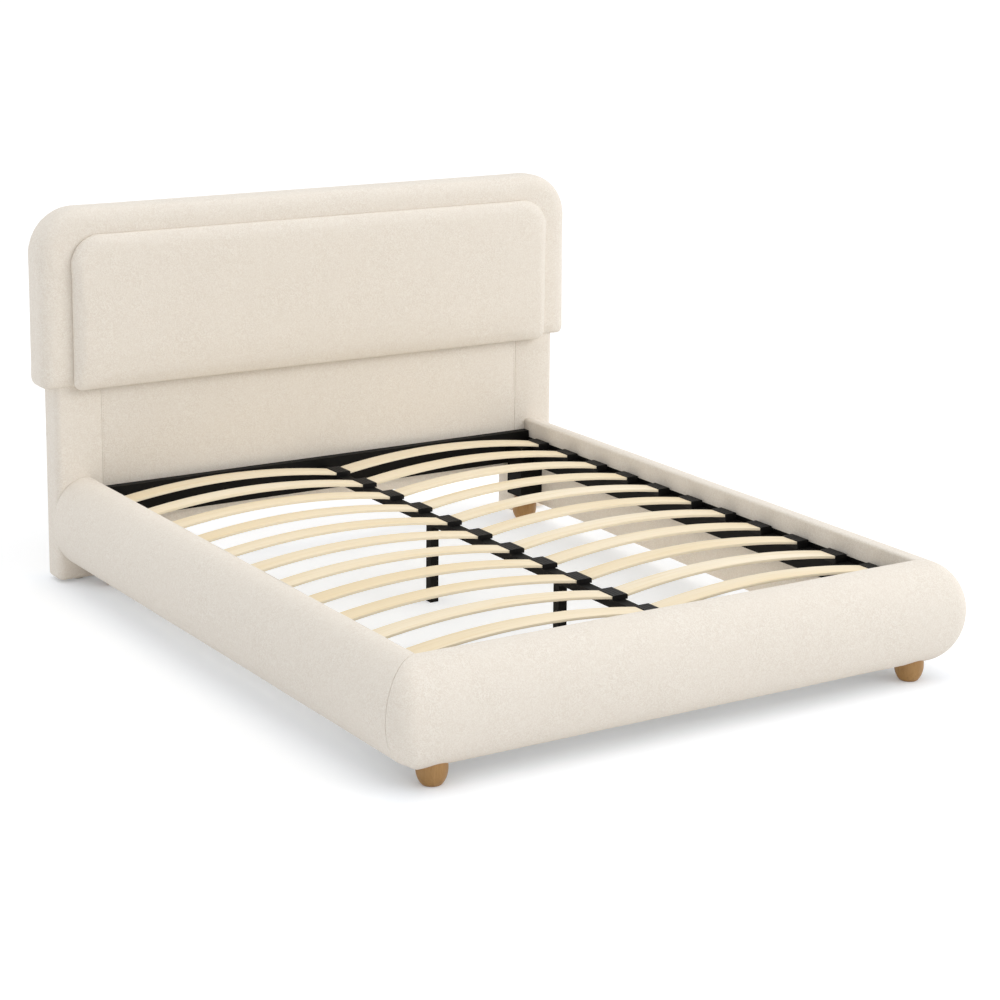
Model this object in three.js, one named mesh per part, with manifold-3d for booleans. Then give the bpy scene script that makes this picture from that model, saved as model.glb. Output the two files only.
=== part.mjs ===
// Upholstered double bed with a layered headboard, rolled rails and a sprung slat base.
//
// Millimetres. +Z is up, +Y runs from the foot of the bed to the headboard, and +X is the
// right-hand side of a person who stands at the foot and looks at the headboard.
// The origin is on the floor, under the centre of the bed's outline.

import * as THREE from "three";
import { mergeVertices } from "three/addons/utils/BufferGeometryUtils.js";
import Module from "manifold-3d";

const wasm = await Module();
wasm.setup();

// ---------------------------------------------------------------- driving dimensions

const FIT = 0.3; // gap left between two pieces that touch

// The well that takes the mattress, inside the fabric of the rails.
const WELL_WIDTH = 1620;
const WELL_LENGTH = 2020;

// Side and foot rails: a board with a rolled bolster on its outer face.
const RAIL_BOTTOM = 53;
const RAIL_HEIGHT = 284;
const BOARD_THICKNESS = 21;
const BOLSTER_DEPTH = 92;
const CORNER_SEAM_SLOPE = 0.226; // how far the corner seam runs towards the foot, per mm outwards

// Headboard: two posts with a panel between them, and two pads above.
const HEAD_DEPTH = 99;
const POST_SETBACK = 9; // from the outside of a side rail in to the outside of its post
const POST_WIDTH = 144;
const POST_EDGE_RADIUS = 22;
const HEAD_BOTTOM = 18;
const PANEL_THICKNESS = 30;
const HEAD_BOARD_THICKNESS = 18;
const DUST_COVER_THICKNESS = 2;
const DUST_COVER_HEM = 24;
const GLIDE_RADIUS = 20;

const BACK_PAD = {
  overhang: 49, // past the outside of each post
  bottom: 631,
  top: 1182,
  topRadius: 150,
  bottomRadius: 45,
  thickness: 110,
  frontRound: 46,
  backRound: 12,
  crown: 4,
};
const BACK_PAD_SETBACK = 3; // from the back of the posts to the back of the pad

const FRONT_PAD = {
  overhang: -49,
  bottom: 625,
  top: 1102,
  topRadius: 98,
  bottomRadius: 32,
  thickness: 38,
  frontRound: 27,
  backRound: 3,
  crown: 5,
};

// Slat base.
const SLAT_ROWS = 11;
const SLAT_END_MARGIN = 135; // from the end of the well to the middle of the first slat
const SLAT_WIDTH = 68;
const SLAT_THICKNESS = 8;
const SLAT_RISE = 30;
const SLAT_SOCKET = 18; // length of slat held inside a cap
const SLAT_SEAT = 5; // height of a slat's underside above the centre beam, at the cap's mouth

const CAP_WALL = 2.7;
const CAP_ROOF = 2.3;
const CAP_RIB_COUNT = 3;
const CAP_RIB_DEPTH = 0.9;
const CENTRE_CAP_WIDTH = 50;
const SIDE_CAP_WIDTH = 42;
const SIDE_CAP_INSET = 8; // from the well's side to the cap

// Steel under the slats.
const STEEL_WALL = 3;
const TUBE_WALL = 2;
const BEAM_WIDTH = 36;
const BEAM_HEIGHT = 25;
const BEAM_TOP = 272;
const LEDGE_WIDTH = 42;
const LEDGE_TOP = 264;
const LEDGE_HEIGHT = 62;
const LEDGE_FLANGE = 14; // upstand of the flange above the ledge
const HEAD_RAIL_BOTTOM = 196;
const HEAD_RAIL_HEIGHT = 105;
const HEAD_RAIL_DEPTH = 30;
const FOOT_RAIL_DEPTH = 38;
const CENTRE_LEG_SIZE = 28;
const CENTRE_LEG_PLATE = 64;
const CENTRE_LEG_SHARE = [0.366, 0.718]; // places along the well, from the headboard

// Turned bun feet.
const FOOT_HEIGHT = 90;
const FOOT_RADIUS = 42;
const FOOT_FLAT_RADIUS = 21;
const FOOT_INSET_X = 28; // from the well's side to the foot's axis
const FOOT_INSET_Y = 35; // from the well's foot end out to the foot's axis
const FOOT_POCKET_CLEARANCE = 3;
const CORNER_POST_MARGIN = 1; // from the edge of the corner post to the foot under it

// ---------------------------------------------------------------- dependent dimensions

const WELL_HALF = WELL_WIDTH / 2;
const BOARD_OUTER_X = WELL_HALF + BOARD_THICKNESS;
const RAIL_OUTER_X = BOARD_OUTER_X + BOLSTER_DEPTH;
const RAIL_TOP = RAIL_BOTTOM + RAIL_HEIGHT;
const RAIL_MIDDLE = RAIL_BOTTOM + RAIL_HEIGHT / 2;
const POST_OUTER_X = RAIL_OUTER_X - POST_SETBACK;
const POST_INNER_X = POST_OUTER_X - POST_WIDTH;

const OVERALL_LENGTH = WELL_LENGTH + BOARD_THICKNESS + BOLSTER_DEPTH + HEAD_DEPTH;
const HEAD_FRONT_Y = OVERALL_LENGTH / 2 - HEAD_DEPTH;
const HEAD_BACK_Y = OVERALL_LENGTH / 2;
const WELL_FOOT_Y = HEAD_FRONT_Y - WELL_LENGTH;
const BOARD_FOOT_Y = WELL_FOOT_Y - BOARD_THICKNESS;

const BACK_PAD_FRONT_Y = HEAD_BACK_Y - BACK_PAD_SETBACK - BACK_PAD.thickness;
const POST_TOP = BACK_PAD.bottom - FIT;

const BEAM_BOTTOM = BEAM_TOP - BEAM_HEIGHT;
const SLAT_UNDERSIDE = BEAM_TOP + SLAT_SEAT;
const CAP_TOP = SLAT_UNDERSIDE + SLAT_THICKNESS + CAP_ROOF;
const CAP_LENGTH = SLAT_WIDTH + 2 * (FIT + CAP_WALL);
const SLAT_PITCH = (WELL_LENGTH - 2 * SLAT_END_MARGIN) / (SLAT_ROWS - 1);
const SLAT_INNER_MOUTH = CENTRE_CAP_WIDTH / 2;
const SLAT_OUTER_MOUTH = WELL_HALF - SIDE_CAP_INSET - SIDE_CAP_WIDTH;

const LEDGE_OUTER_X = WELL_HALF - FIT;
const LEDGE_BOTTOM = LEDGE_TOP - LEDGE_HEIGHT;
const LEDGE_HEAD_Y = HEAD_FRONT_Y - HEAD_RAIL_DEPTH - 2 * FIT;
const LEDGE_FOOT_Y = WELL_FOOT_Y + FOOT_RAIL_DEPTH + 2 * FIT;
const CORNER_POST_SIZE = 2 * (FOOT_RADIUS + CORNER_POST_MARGIN);

// ---------------------------------------------------------------- materials

const boucle = new THREE.MeshStandardMaterial({ color: "#e9e2d6", roughness: 0.95, metalness: 0 });
const birch = new THREE.MeshStandardMaterial({ color: "#f0e0be", roughness: 0.55, metalness: 0 });
const pine = new THREE.MeshStandardMaterial({ color: "#d8bd8d", roughness: 0.7, metalness: 0 });
const oak = new THREE.MeshStandardMaterial({ color: "#ab7d48", roughness: 0.5, metalness: 0 });
const blackSteel = new THREE.MeshStandardMaterial({ color: "#1c1917", roughness: 0.5, metalness: 0.3 });
const blackPlastic = new THREE.MeshStandardMaterial({ color: "#1a1816", roughness: 0.6, metalness: 0 });
const blackFleece = new THREE.MeshStandardMaterial({ color: "#232120", roughness: 0.95, metalness: 0 });

// ---------------------------------------------------------------- solids and helpers

/** A closed three.js geometry as a solid that can be cut and joined. */
function toSolid(geometry) {
  const bare = geometry.clone();
  bare.deleteAttribute("normal");
  bare.deleteAttribute("uv");
  const merged = mergeVertices(bare, 1e-4);
  return new wasm.Manifold(new wasm.Mesh({
    numProp: 3,
    vertProperties: new Float32Array(merged.attributes.position.array),
    triVerts: new Uint32Array(merged.index.array),
  }));
}

/** A cut or joined solid back as a three.js geometry. */
function toGeometry(solid) {
  const mesh = solid.getMesh();
  const geometry = new THREE.BufferGeometry();
  geometry.setAttribute("position", new THREE.BufferAttribute(mesh.vertProperties, 3));
  geometry.setIndex(new THREE.BufferAttribute(mesh.triVerts, 1));
  geometry.computeVertexNormals();
  return geometry;
}

/** A box between two corners, in the bed's own frame. */
function boxBetween(low, high) {
  const size = high.map((value, axis) => value - low[axis]);
  const geometry = new THREE.BoxGeometry(...size);
  geometry.translate(...low.map((value, axis) => value + size[axis] / 2));
  return geometry;
}

/** Extrudes a section drawn in X and Z along the bed, from startY towards the foot at endY. */
function extrudeAlongBed(section, startY, endY, curveSegments = 8) {
  const geometry = new THREE.ExtrudeGeometry(section, {
    depth: startY - endY,
    bevelEnabled: false,
    curveSegments,
  });
  geometry.rotateX(Math.PI / 2);
  geometry.translate(0, startY, 0);
  return geometry;
}

/** Extrudes a section drawn in Y and Z across the bed, from -halfLength to +halfLength. */
function extrudeAcrossBed(section, halfLength, curveSegments = 8) {
  const geometry = new THREE.ExtrudeGeometry(section, {
    depth: 2 * halfLength,
    bevelEnabled: false,
    curveSegments,
  });
  geometry.translate(0, 0, -halfLength);
  geometry.rotateY(Math.PI / 2);
  geometry.rotateX(Math.PI / 2);
  return geometry;
}

/** Extrudes a plan outline drawn in X and Y upwards. */
function extrudeUp(plan, bottom, top, curveSegments = 8) {
  const geometry = new THREE.ExtrudeGeometry(plan, {
    depth: top - bottom,
    bevelEnabled: false,
    curveSegments,
  });
  geometry.translate(0, 0, bottom);
  return geometry;
}

/** A polygon through [a, b] pairs. */
function polygon(points) {
  return new THREE.Shape(points.map(([a, b]) => new THREE.Vector2(a, b)));
}

/** Skins a stack of matching closed rings and caps both ends. */
function loft(rings) {
  const count = rings[0].length;
  const positions = rings.flat().flatMap((point) => [point.x, point.y, point.z]);
  const indices = [];
  for (let ring = 0; ring + 1 < rings.length; ring += 1) {
    for (let step = 0; step < count; step += 1) {
      const next = (step + 1) % count;
      const a = ring * count + step;
      const b = ring * count + next;
      const c = a + count;
      const d = b + count;
      indices.push(a, b, d, a, d, c);
    }
  }
  const last = (rings.length - 1) * count;
  for (let step = 1; step + 1 < count; step += 1) {
    indices.push(0, step + 1, step);
    indices.push(last, last + step, last + step + 1);
  }
  const geometry = new THREE.BufferGeometry();
  geometry.setAttribute("position", new THREE.Float32BufferAttribute(positions, 3));
  geometry.setIndex(indices);
  geometry.computeVertexNormals();
  return geometry;
}

const bed = new THREE.Group();

/** Adds one named piece to the bed, or to a group within it. */
function addPiece(name, geometry, material, parent = bed) {
  const mesh = new THREE.Mesh(geometry, material);
  mesh.name = name;
  parent.add(mesh);
  return mesh;
}

const SIDES = [
  { name: "left", sign: -1 },
  { name: "right", sign: 1 },
];

// ---------------------------------------------------------------- rolled rails

/** The rolled outline of a rail: a half ellipse that starts on a flat back at `back`. */
function bolsterSection(back, direction) {
  const depth = BOLSTER_DEPTH - FIT;
  const section = new THREE.Shape();
  section.moveTo(back, RAIL_BOTTOM);
  section.absellipse(
    back, RAIL_MIDDLE, depth, RAIL_HEIGHT / 2,
    -Math.PI / 2, direction * Math.PI / 2 + (direction < 0 ? -Math.PI : 0), direction < 0, 0,
  );
  section.closePath();
  return section;
}

/** Where the corner seam lies on a side rail, at a distance from the bed's centre line. */
function seamY(x) {
  return BOARD_FOOT_Y - FIT - CORNER_SEAM_SLOPE * Math.max(0, x - BOARD_OUTER_X - FIT);
}

/** The cylinder that is cleared in the foot rail above each of its feet. */
function footPocket(sign) {
  const height = FOOT_HEIGHT + FIT;
  const pocket = new THREE.CylinderGeometry(
    FOOT_RADIUS + FOOT_POCKET_CLEARANCE, FOOT_RADIUS + FOOT_POCKET_CLEARANCE, height, 32,
  );
  pocket.rotateX(Math.PI / 2);
  pocket.translate(sign * (WELL_HALF - FOOT_INSET_X), WELL_FOOT_Y - FOOT_INSET_Y, height / 2);
  return toSolid(pocket);
}

/** Takes the room for the two feet at the foot end out of a rail piece. */
function clearFootPockets(geometry) {
  let solid = toSolid(geometry);
  for (const side of SIDES) {
    solid = solid.subtract(footPocket(side.sign));
  }
  return toGeometry(solid);
}

function addSideRail({ name, sign }) {
  const inner = sign * WELL_HALF;
  const outer = sign * BOARD_OUTER_X;
  const board = boxBetween(
    [Math.min(inner, outer), BOARD_FOOT_Y, RAIL_BOTTOM],
    [Math.max(inner, outer), HEAD_FRONT_Y - FIT, RAIL_TOP],
  );
  addPiece(`${name}_rail_board`, clearFootPockets(board), pine);

  const section = bolsterSection(sign * (BOARD_OUTER_X + FIT), sign);
  const bolster = extrudeAlongBed(section, HEAD_FRONT_Y - FIT, BOARD_FOOT_Y, 12);
  const points = bolster.attributes.position;
  for (let i = 0; i < points.count; i += 1) {
    if (points.getY(i) < WELL_FOOT_Y) {
      points.setY(i, seamY(Math.abs(points.getX(i))) + FIT);
    }
  }
  addPiece(`${name}_rail_bolster`, bolster, boucle);
}

function addFootRail() {
  const board = boxBetween(
    [-WELL_HALF + FIT, BOARD_FOOT_Y, RAIL_BOTTOM],
    [WELL_HALF - FIT, WELL_FOOT_Y, RAIL_TOP],
  );
  addPiece("foot_rail_board", clearFootPockets(board), pine);

  // The roll along the foot and the rolls of both sides meet in a mitre at each corner.
  const past = 60;
  const acrossFoot = new THREE.Shape();
  const depth = BOLSTER_DEPTH - FIT;
  acrossFoot.moveTo(BOARD_FOOT_Y, RAIL_BOTTOM);
  acrossFoot.absellipse(
    BOARD_FOOT_Y - FIT, RAIL_MIDDLE, depth, RAIL_HEIGHT / 2, -Math.PI / 2, -Math.PI * 1.5, true, 0,
  );
  acrossFoot.lineTo(BOARD_FOOT_Y, RAIL_TOP);
  acrossFoot.closePath();

  const aroundBoth = new THREE.Shape();
  const side = BOARD_OUTER_X + FIT;
  aroundBoth.absellipse(side, RAIL_MIDDLE, depth, RAIL_HEIGHT / 2, -Math.PI / 2, Math.PI / 2, false, 0);
  aroundBoth.absellipse(-side, RAIL_MIDDLE, depth, RAIL_HEIGHT / 2, Math.PI / 2, Math.PI * 1.5, false, 0);
  aroundBoth.closePath();

  const far = RAIL_OUTER_X + past;
  const footEnd = BOARD_FOOT_Y - BOLSTER_DEPTH - past;
  const plan = polygon([
    [-far, seamY(far)],
    [-side, seamY(side)],
    [side, seamY(side)],
    [far, seamY(far)],
    [far, footEnd],
    [-far, footEnd],
  ]);

  const roll = toSolid(extrudeAcrossBed(acrossFoot, far, 12))
    .intersect(toSolid(extrudeAlongBed(aroundBoth, WELL_FOOT_Y, footEnd, 12)))
    .intersect(toSolid(extrudeUp(plan, RAIL_BOTTOM - past, RAIL_TOP + past)));
  addPiece("foot_rail_bolster", clearFootPockets(toGeometry(roll)), boucle);
}

// ---------------------------------------------------------------- headboard

/** The outline of a pad, drawn inwards by `inset`, at depth y. */
function padRing(pad, inset, y) {
  const cornerSteps = 6;
  const half = POST_OUTER_X + pad.overhang - inset;
  const bottom = pad.bottom + inset;
  const top = pad.top - inset;
  const topRadius = Math.max(pad.topRadius - inset, pad.bottomRadius / 2);
  const bottomRadius = Math.max(pad.bottomRadius - inset, pad.bottomRadius / 4);
  const corners = [
    { x: half - bottomRadius, z: bottom + bottomRadius, radius: bottomRadius, start: -0.5 },
    { x: half - topRadius, z: top - topRadius, radius: topRadius, start: 0 },
    { x: -half + topRadius, z: top - topRadius, radius: topRadius, start: 0.5 },
    { x: -half + bottomRadius, z: bottom + bottomRadius, radius: bottomRadius, start: 1 },
  ];
  const ring = [];
  for (const corner of corners) {
    for (let step = 0; step <= cornerSteps; step += 1) {
      const angle = Math.PI * (corner.start + (0.5 * step) / cornerSteps);
      ring.push(new THREE.Vector3(
        corner.x + corner.radius * Math.cos(angle), y, corner.z + corner.radius * Math.sin(angle),
      ));
    }
  }
  return ring;
}

/** A pad with a soft front edge and a slightly crowned face; backY is its flat back. */
function padGeometry(pad, backY) {
  const roundSteps = 4;
  const rings = [];
  const frontY = backY - pad.thickness;
  rings.push(padRing(pad, pad.backRound, backY));
  rings.push(padRing(pad, 0, backY - pad.backRound));
  for (let step = 0; step <= roundSteps; step += 1) {
    const angle = (Math.PI / 2) * (step / roundSteps);
    const inset = pad.frontRound * (1 - Math.cos(angle));
    const rounding = (pad.frontRound - pad.crown) * Math.sin(angle);
    rings.push(padRing(pad, inset, frontY + pad.frontRound - rounding));
  }
  rings.push(padRing(pad, pad.frontRound * 4, frontY));
  return loft(rings);
}

function addHeadboardPost({ name, sign }) {
  const plan = new THREE.Shape();
  const r = POST_EDGE_RADIUS;
  const back = HEAD_BACK_Y;
  const front = HEAD_FRONT_Y;
  plan.moveTo(POST_INNER_X, front);
  plan.lineTo(POST_OUTER_X - r, front);
  plan.absarc(POST_OUTER_X - r, front + r, r, -Math.PI / 2, 0, false);
  plan.absarc(POST_OUTER_X - r, back - r, r, 0, Math.PI / 2, false);
  plan.lineTo(POST_INNER_X, back);
  plan.closePath();
  const post = extrudeUp(plan, HEAD_BOTTOM, POST_TOP);
  if (sign < 0) {
    post.rotateZ(Math.PI);
    post.translate(0, front + back, 0);
  }
  addPiece(`${name}_headboard_post`, post, boucle);

  const height = HEAD_BOTTOM - FIT;
  const profile = [
    [0, 0],
    [GLIDE_RADIUS - 2, 0],
    [GLIDE_RADIUS, 2],
    [GLIDE_RADIUS, height],
    [0, height],
  ];
  const glide = new THREE.LatheGeometry(profile.map(([a, b]) => new THREE.Vector2(a, b)), 24);
  const mesh = addPiece(`${name}_headboard_glide`, glide, blackPlastic);
  mesh.rotation.x = Math.PI / 2;
  mesh.position.set(sign * (POST_INNER_X + POST_OUTER_X) / 2, (front + back) / 2, 0);
}

function addHeadboard() {
  SIDES.forEach(addHeadboardPost);

  const half = POST_INNER_X - FIT;
  const panelBack = HEAD_FRONT_Y + PANEL_THICKNESS;
  const panel = boxBetween([-half, HEAD_FRONT_Y, HEAD_BOTTOM], [half, panelBack, POST_TOP]);
  addPiece("headboard_lower_panel", panel, boucle);

  const boardFront = panelBack + FIT;
  const board = boxBetween(
    [-half, boardFront, HEAD_BOTTOM],
    [half, boardFront + HEAD_BOARD_THICKNESS, POST_TOP],
  );
  addPiece("headboard_backing_board", board, pine);

  const cover = boxBetween(
    [-half, HEAD_BACK_Y - DUST_COVER_THICKNESS, HEAD_BOTTOM + DUST_COVER_HEM],
    [half, HEAD_BACK_Y, POST_TOP],
  );
  addPiece("headboard_dust_cover", cover, blackFleece);

  addPiece("headboard_back_pad", padGeometry(BACK_PAD, HEAD_BACK_Y - BACK_PAD_SETBACK), boucle);
  addPiece("headboard_front_pad", padGeometry(FRONT_PAD, BACK_PAD_FRONT_Y - FIT), boucle);
}

// ---------------------------------------------------------------- steel base

/** A channel section: a web with two flanges that point from `web` towards `open`. */
function channelSection(web, open, bottom, top) {
  const inner = web + Math.sign(open - web) * STEEL_WALL;
  return polygon([
    [web, bottom],
    [open, bottom],
    [open, bottom + STEEL_WALL],
    [inner, bottom + STEEL_WALL],
    [inner, top - STEEL_WALL],
    [open, top - STEEL_WALL],
    [open, top],
    [web, top],
  ]);
}

function addCrossRails() {
  const half = WELL_HALF - FIT;
  const head = channelSection(
    HEAD_FRONT_Y - HEAD_RAIL_DEPTH - FIT, HEAD_FRONT_Y - FIT,
    HEAD_RAIL_BOTTOM, HEAD_RAIL_BOTTOM + HEAD_RAIL_HEIGHT,
  );
  addPiece("head_cross_rail", extrudeAcrossBed(head, half), blackSteel);

  const foot = channelSection(
    WELL_FOOT_Y + FOOT_RAIL_DEPTH + FIT, WELL_FOOT_Y + FIT, LEDGE_BOTTOM, LEDGE_TOP,
  );
  addPiece("foot_cross_rail", extrudeAcrossBed(foot, half), blackSteel);
}

/** A square or flat tube section with a wall, centred on x = 0 between two heights. */
function tubeSection(width, bottom, top) {
  const half = width / 2;
  const section = polygon([[-half, bottom], [half, bottom], [half, top], [-half, top]]);
  const inner = half - TUBE_WALL;
  const low = bottom + TUBE_WALL;
  const high = top - TUBE_WALL;
  section.holes.push(polygon([[-inner, low], [-inner, high], [inner, high], [inner, low]]));
  return section;
}

function addCentreBeam() {
  const section = tubeSection(BEAM_WIDTH, BEAM_BOTTOM, BEAM_TOP);
  addPiece("centre_beam", extrudeAlongBed(section, LEDGE_HEAD_Y, LEDGE_FOOT_Y), blackSteel);

  CENTRE_LEG_SHARE.forEach((share, index) => {
    const half = CENTRE_LEG_SIZE / 2;
    const top = BEAM_BOTTOM - FIT;
    const tube = extrudeUp(tubeSection(CENTRE_LEG_SIZE, -half, half), 0, top - STEEL_WALL / 2);
    const plate = boxBetween(
      [-BEAM_WIDTH / 2, -CENTRE_LEG_PLATE / 2, top - STEEL_WALL],
      [BEAM_WIDTH / 2, CENTRE_LEG_PLATE / 2, top],
    );
    const leg = toGeometry(toSolid(tube).add(toSolid(plate)));
    const mesh = addPiece(`centre_leg_${index + 1}`, leg, blackSteel);
    mesh.position.y = HEAD_FRONT_Y - share * WELL_LENGTH;
  });
}

// ---------------------------------------------------------------- sprung slats and their caps

/** The middle of a slat row, counted from the headboard. */
function rowY(row) {
  return HEAD_FRONT_Y - SLAT_END_MARGIN - row * SLAT_PITCH;
}

/** An arched slat on the right-hand side, centred on y = 0, grown by `clearance` all round. */
function slatGeometry(clearance = 0) {
  const middle = (SLAT_INNER_MOUTH + SLAT_OUTER_MOUTH) / 2;
  const halfChord = (SLAT_OUTER_MOUTH - SLAT_INNER_MOUTH) / 2;
  const underRadius = (halfChord ** 2 + SLAT_RISE ** 2) / (2 * SLAT_RISE);
  const centreZ = SLAT_UNDERSIDE + SLAT_RISE - underRadius;
  const lower = underRadius - clearance;
  const upper = underRadius + SLAT_THICKNESS + clearance;
  const reach = Math.asin((halfChord + SLAT_SOCKET + clearance) / underRadius);
  const band = new THREE.Shape();
  band.absarc(middle, centreZ, upper, Math.PI / 2 + reach, Math.PI / 2 - reach, true);
  band.absarc(middle, centreZ, lower, Math.PI / 2 - reach, Math.PI / 2 + reach, false);
  band.closePath();
  const half = SLAT_WIDTH / 2 + clearance;
  return extrudeAlongBed(band, half, -half, 9);
}

function addSlats() {
  for (let row = 0; row < SLAT_ROWS; row += 1) {
    const number = String(row + 1).padStart(2, "0");
    for (const side of SIDES) {
      const slat = addPiece(`${side.name}_slat_${number}`, slatGeometry(), birch);
      slat.position.y = rowY(row);
      slat.rotation.z = side.sign < 0 ? Math.PI : 0;
    }
  }
}

/** The section of a moulded cap between x = low and x = high, with ribs along its roof. */
function capSection(low, high, bottom) {
  const shoulder = 3;
  const ribSpacing = (high - low - 2 * shoulder) / (CAP_RIB_COUNT + 1);
  const outline = [
    [low, bottom],
    [high, bottom],
    [high, CAP_TOP - shoulder],
    [high - shoulder, CAP_TOP],
  ];
  for (let rib = CAP_RIB_COUNT; rib >= 1; rib -= 1) {
    const x = low + shoulder + rib * ribSpacing;
    outline.push([x + CAP_RIB_DEPTH, CAP_TOP]);
    outline.push([x, CAP_TOP - CAP_RIB_DEPTH]);
    outline.push([x - CAP_RIB_DEPTH, CAP_TOP]);
  }
  outline.push([low + shoulder, CAP_TOP]);
  outline.push([low, CAP_TOP - shoulder]);
  return polygon(outline);
}

function addCentreCaps() {
  const half = CENTRE_CAP_WIDTH / 2;
  const body = extrudeAlongBed(capSection(-half, half, BEAM_TOP + FIT), CAP_LENGTH / 2, -CAP_LENGTH / 2);
  const rightSlat = toSolid(slatGeometry(FIT));
  const leftSlat = rightSlat.rotate([0, 0, 180]);
  const cap = toGeometry(toSolid(body).subtract(rightSlat).subtract(leftSlat));
  for (let row = 0; row < SLAT_ROWS; row += 1) {
    const number = String(row + 1).padStart(2, "0");
    addPiece(`centre_cap_${number}`, cap, blackPlastic).position.y = rowY(row);
  }
}

/** A rolled ledge with its row of slat caps and the corner post that stands on a bun foot. */
function addSideLedge({ name, sign }) {
  const outer = LEDGE_OUTER_X;
  const inner = outer - LEDGE_WIDTH;
  const web = outer - STEEL_WALL;
  const lip = inner + STEEL_WALL;
  const shelf = LEDGE_TOP - STEEL_WALL;
  const section = polygon([
    [outer, LEDGE_BOTTOM],
    [outer, LEDGE_TOP + LEDGE_FLANGE],
    [web, LEDGE_TOP + LEDGE_FLANGE],
    [web, LEDGE_TOP],
    [inner, LEDGE_TOP],
    [inner, LEDGE_BOTTOM],
    [lip, LEDGE_BOTTOM],
    [lip, shelf],
    [web, shelf],
    [web, LEDGE_BOTTOM],
  ]);
  let ledge = toSolid(extrudeAlongBed(section, LEDGE_HEAD_Y, LEDGE_FOOT_Y));

  const capHigh = SLAT_OUTER_MOUTH + SIDE_CAP_WIDTH;
  const capShape = capSection(SLAT_OUTER_MOUTH, capHigh, LEDGE_TOP - STEEL_WALL / 2);
  const cap = toSolid(extrudeAlongBed(capShape, CAP_LENGTH / 2, -CAP_LENGTH / 2))
    .subtract(toSolid(slatGeometry(FIT)));
  for (let row = 0; row < SLAT_ROWS; row += 1) {
    ledge = ledge.add(cap.translate([0, rowY(row), 0]));
  }

  const post = boxBetween(
    [outer - CORNER_POST_SIZE, LEDGE_HEAD_Y - CORNER_POST_SIZE, FOOT_HEIGHT + FIT],
    [outer, LEDGE_HEAD_Y, shelf + STEEL_WALL / 2],
  );
  const geometry = toGeometry(ledge.add(toSolid(post)));
  if (sign < 0) {
    geometry.scale(-1, 1, 1);
    const index = geometry.index.array;
    for (let i = 0; i < index.length; i += 3) {
      [index[i], index[i + 1]] = [index[i + 1], index[i]];
    }
    geometry.computeVertexNormals();
  }
  addPiece(`${name}_side_ledge`, geometry, blackSteel);
}

// ---------------------------------------------------------------- feet

/** The turned profile of a foot: an upright ellipse cut flat at the floor and at its seat. */
function footProfile() {
  const middle = FOOT_HEIGHT / 2;
  const flatShare = FOOT_FLAT_RADIUS / FOOT_RADIUS;
  const semiHeight = middle / Math.sqrt(1 - flatShare ** 2);
  const start = Math.asin(middle / semiHeight);
  const steps = 12;
  const profile = [new THREE.Vector2(0, 0)];
  for (let step = 0; step <= steps; step += 1) {
    const angle = -start + (2 * start * step) / steps;
    profile.push(new THREE.Vector2(FOOT_RADIUS * Math.cos(angle), middle + semiHeight * Math.sin(angle)));
  }
  profile.push(new THREE.Vector2(0, FOOT_HEIGHT));
  return profile;
}

function addFeet() {
  const foot = new THREE.LatheGeometry(footProfile(), 28);
  const headX = LEDGE_OUTER_X - CORNER_POST_SIZE / 2;
  const headY = LEDGE_HEAD_Y - CORNER_POST_SIZE / 2;
  const places = [
    { name: "head", x: headX, y: headY },
    { name: "foot", x: WELL_HALF - FOOT_INSET_X, y: WELL_FOOT_Y - FOOT_INSET_Y },
  ];
  for (const place of places) {
    for (const side of SIDES) {
      const mesh = addPiece(`${side.name}_${place.name}_bun_foot`, foot, oak);
      mesh.rotation.x = Math.PI / 2;
      mesh.position.set(side.sign * place.x, place.y, 0);
    }
  }
}

// ---------------------------------------------------------------- assembly

SIDES.forEach(addSideRail);
addFootRail();
addHeadboard();
addCrossRails();
addCentreBeam();
addSlats();
addCentreCaps();
SIDES.forEach(addSideLedge);
addFeet();

export default bed;
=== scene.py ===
"""Upholstered double bed: a layered headboard, rolled rails in boucle and a sprung slat base.

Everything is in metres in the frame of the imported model. +Z is up, +Y runs from the foot of
the bed to the headboard, and +X is the right-hand side seen from the foot.
"""

import logging
import math
from dataclasses import dataclass
from enum import Enum
from typing import Any, Callable, Iterable, Optional, Union

import bmesh
import bpy
from bmesh.types import BMEdge, BMesh, BMVert
from bpy.types import Material, Node, NodeSocket, NodeTree, Object
from mathutils import Matrix, Vector, noise


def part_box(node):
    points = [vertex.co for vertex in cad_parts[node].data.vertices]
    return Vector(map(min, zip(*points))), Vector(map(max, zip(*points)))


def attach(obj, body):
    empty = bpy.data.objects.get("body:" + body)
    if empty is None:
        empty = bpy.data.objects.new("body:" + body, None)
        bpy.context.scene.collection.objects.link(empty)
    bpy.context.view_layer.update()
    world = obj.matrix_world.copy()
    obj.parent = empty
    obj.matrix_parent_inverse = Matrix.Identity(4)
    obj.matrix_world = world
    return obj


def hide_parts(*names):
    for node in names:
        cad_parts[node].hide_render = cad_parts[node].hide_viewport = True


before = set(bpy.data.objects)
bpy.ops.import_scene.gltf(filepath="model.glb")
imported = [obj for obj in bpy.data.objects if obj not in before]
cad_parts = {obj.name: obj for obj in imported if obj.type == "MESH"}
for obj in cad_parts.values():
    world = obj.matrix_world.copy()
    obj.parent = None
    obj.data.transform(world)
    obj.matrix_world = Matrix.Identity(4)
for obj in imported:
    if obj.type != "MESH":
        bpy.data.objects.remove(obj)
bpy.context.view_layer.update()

LOG = logging.getLogger("bed")
MM = 0.001
BODY = "root"
WELD = 0.01 * MM  # points nearer than this are one point
SLAT_ROWS = range(1, 12)
Value = Union[Node, NodeSocket, float, tuple]


class Slot(Enum):
    """The record's material slots named with the new pieces; nothing here puts a piece into one."""

    FABRIC = "boucle"
    SLAT = "slat_birch"
    FOOT = "foot_wood"
    FLEECE = "dust_fleece"


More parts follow.
